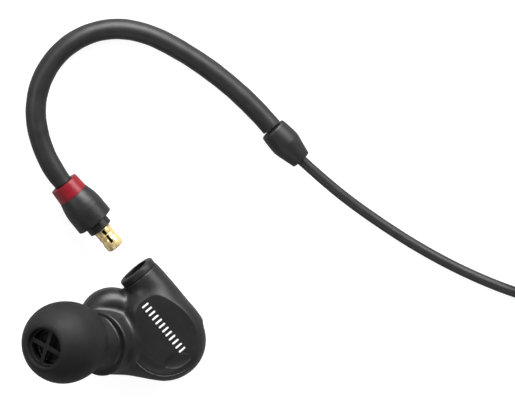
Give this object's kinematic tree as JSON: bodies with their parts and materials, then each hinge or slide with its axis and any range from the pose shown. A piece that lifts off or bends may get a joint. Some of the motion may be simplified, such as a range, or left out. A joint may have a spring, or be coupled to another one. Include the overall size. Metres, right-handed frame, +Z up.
{
  "type": "in ear monitor",
  "caption": "Ear-worn monitor with silicone tip, dynamic driver, socketed housing and a detachable cable with formed ear hook and stereo jack.",
  "frame": {"origin": "centre of the flat rest face of the rear cover, under the middle of the driver", "axes": "+Z up from the rest face through the driver, +X away from the ear tip, +Y towards the cable side"},
  "size_m": [0.1059, 0.0571, 0.0189],
  "materials": {
    "housing_black": "satin moulded",
    "metal_mesh": "woven, blackened",
    "damping_foam": "open cell",
    "contact_gold": "plated, bright",
    "insulator_white": "smooth",
    "soft_iron": "nickel plated",
    "magnet_plating": "plated",
    "driver_plastic": "moulded",
    "ring_brass": "turned",
    "stamped_steel": "stamped",
    "circuit_board": "solder mask",
    "wire_enamel": "enamelled",
    "coil_copper": "wound enamelled wire",
    "diaphragm_film": "thin film",
    "tip_silicone": "soft satin",
    "plug_black": "fine spark-eroded",
    "side_red": "satin",
    "hook_rubber": "satin",
    "cable_jacket": "satin",
    "jack_band": "smooth"
  },
  "bodies": {
    "earpiece": {"front_shell": "housing_black", "rear_cover": "housing_black", "vent_mesh": "metal_mesh", "socket_collar": "housing_black", "nozzle_screen": "metal_mesh", "nozzle_damper": "damping_foam", "socket_outer_contact": "contact_gold", "socket_insulator": "insulator_white", "socket_centre_contact": "contact_gold", "driver_yoke": "soft_iron", "driver_magnet": "magnet_plating", "driver_top_plate": "soft_iron", "driver_frame": "driver_plastic", "diaphragm_ring": "ring_brass", "driver_grille": "stamped_steel", "driver_gasket": "damping_foam", "driver_terminals": "circuit_board", "live_wire": "wire_enamel", "ground_wire": "wire_enamel"},
    "moving_coil": {"voice_coil": "coil_copper", "diaphragm": "diaphragm_film"},
    "tip": {"ear_tip": "tip_silicone", "tip_guard": "tip_silicone"},
    "snap_ring": {"plug_snap_ring": "contact_gold"},
    "cable": {"plug_outer_contact": "contact_gold", "plug_insulator": "jack_band", "plug_centre_pin": "contact_gold", "plug_nose": "plug_black", "plug_barrel": "plug_black", "side_ring": "side_red", "plug_strain_core": "plug_black", "ear_hook": "hook_rubber", "hook_core": "cable_jacket", "transition_sleeve": "hook_rubber", "cable_lead": "cable_jacket", "cable_coil": "cable_jacket", "cable_tail": "cable_jacket", "jack_strain_relief": "hook_rubber", "jack_shell": "plug_black", "jack_sleeve_contact": "contact_gold", "jack_ring_contact": "contact_gold", "jack_tip_contact": "contact_gold", "jack_insulator": "jack_band"}
  },
  "joints": [
    {"name": "coil_travel", "type": "slide", "parent": "earpiece", "child": "moving_coil", "axis": [0, 0, 1], "range_m": [-0.00015, 0.00015], "stiffness_N_per_m": 40},
    {"name": "tip_pull_off", "type": "slide", "parent": "earpiece", "child": "tip", "axis": [-0.6211, -0.0423, 0.7826], "range_m": [0, 0.006]},
    {"name": "plug_in", "type": "slide", "parent": "earpiece", "child": "snap_ring", "axis": [0.6374, -0.7705, 0], "range_m": [0, 0.0088]},
    {"name": "plug_swivel", "type": "hinge", "parent": "snap_ring", "child": "cable", "pos_m": [-0.00671, 0.01297, 0.00285], "axis": [-0.6374, 0.7705, 0], "continuous": true}
  ]
}
